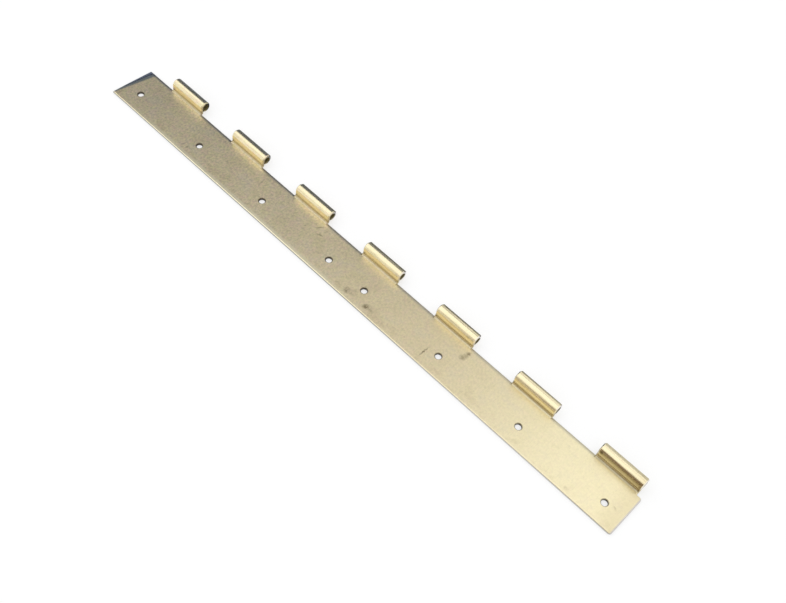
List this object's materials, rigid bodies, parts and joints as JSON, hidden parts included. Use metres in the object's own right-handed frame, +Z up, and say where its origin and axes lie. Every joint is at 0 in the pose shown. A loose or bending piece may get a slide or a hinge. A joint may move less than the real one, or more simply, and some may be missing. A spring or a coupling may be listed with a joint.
{
  "type": "hinge leaf",
  "caption": "Long flat leaf of a continuous hinge for a landing gear door, with raised rolled knuckles along one edge and a row of screw holes.",
  "frame": {"origin": "under the middle of the whole leaf, knuckles included, on the plane of the flat underside", "axes": "+X along the leaf towards the end whose last knuckle is near the corner, +Y across the leaf towards the knuckles, +Z up out of the face that the knuckles rise from"},
  "size_m": [0.3524, 0.032, 0.0076],
  "materials": {
    "plated_steel": "satin pale gold, yellow passivated plating"
  },
  "bodies": {
    "root": {"hinge_leaf": "plated_steel"}
  },
  "joints": []
}
